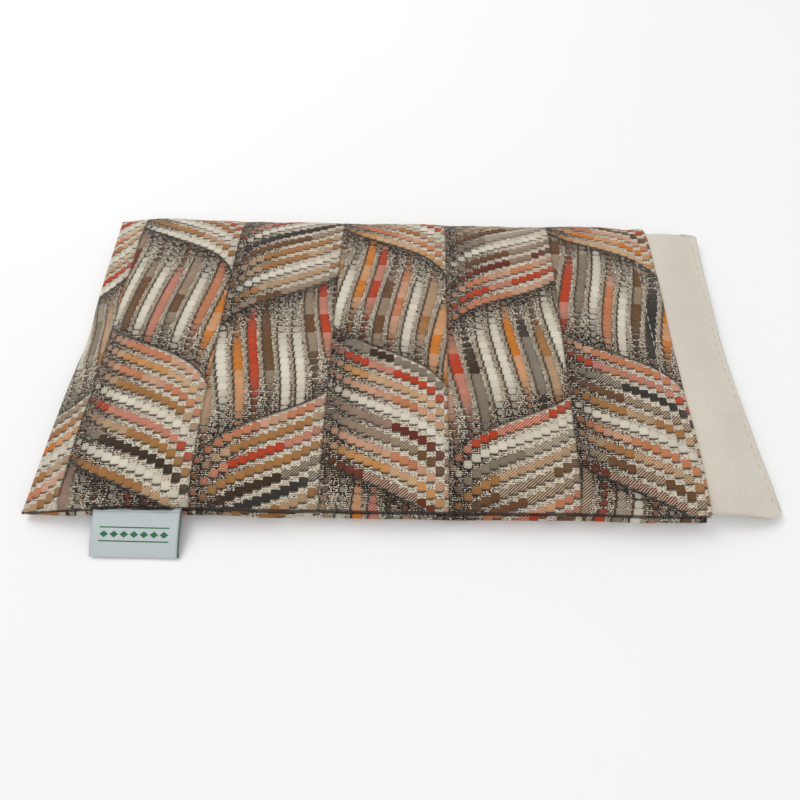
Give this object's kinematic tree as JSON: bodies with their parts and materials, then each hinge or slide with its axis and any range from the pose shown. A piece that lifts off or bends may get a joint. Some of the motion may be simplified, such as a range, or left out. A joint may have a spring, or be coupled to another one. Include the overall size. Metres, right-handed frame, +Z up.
{
  "type": "eye pillow",
  "caption": "Flat seed-filled calico eye pillow that slides in and out of an open-ended woven cover, with a folded ribbon label in the front seam.",
  "frame": {"origin": "centre of the cover's footprint, on the surface that the cover rests on", "axes": "+X from the cover's closed end to its open mouth, +Y from the label's side to the plain side, +Z up"},
  "size_m": [0.26, 0.1504, 0.014],
  "materials": {
    "patterned_weave": "coarse jacquard weave in rust, tan, brown, charcoal and off-white",
    "cover_thread": "pale grey sewing thread",
    "satin_ribbon": "pale blue-grey satin ribbon with a green woven edge",
    "calico": "unbleached cotton calico with a faint weave and small flecks",
    "calico_thread": "natural cotton thread",
    "flaxseed": "glossy brown seeds, hidden inside the calico"
  },
  "bodies": {
    "cover": {"cover_top_panel": "patterned_weave", "cover_bottom_panel": "patterned_weave", "cover_seam_thread": "cover_thread", "cover_hem_thread": "cover_thread", "label_sewn_tail": "satin_ribbon"},
    "inner_pillow": {"pillow_top_panel": "calico", "pillow_bottom_panel": "calico", "pillow_seam_thread": "calico_thread", "pillow_closing_thread": "calico_thread", "flaxseed_filling": "flaxseed"},
    "label": {"label_ribbon": "satin_ribbon"}
  },
  "joints": [
    {"name": "pillow_slide", "type": "slide", "parent": "cover", "child": "inner_pillow", "axis": [1, 0, 0], "range_m": [-0.027, 0.215]},
    {"name": "label_flap", "type": "hinge", "parent": "cover", "child": "label", "pos_m": [-0.0765, -0.0684, 0.006], "axis": [-1, 0, 0], "range_deg": [0, 120]}
  ]
}
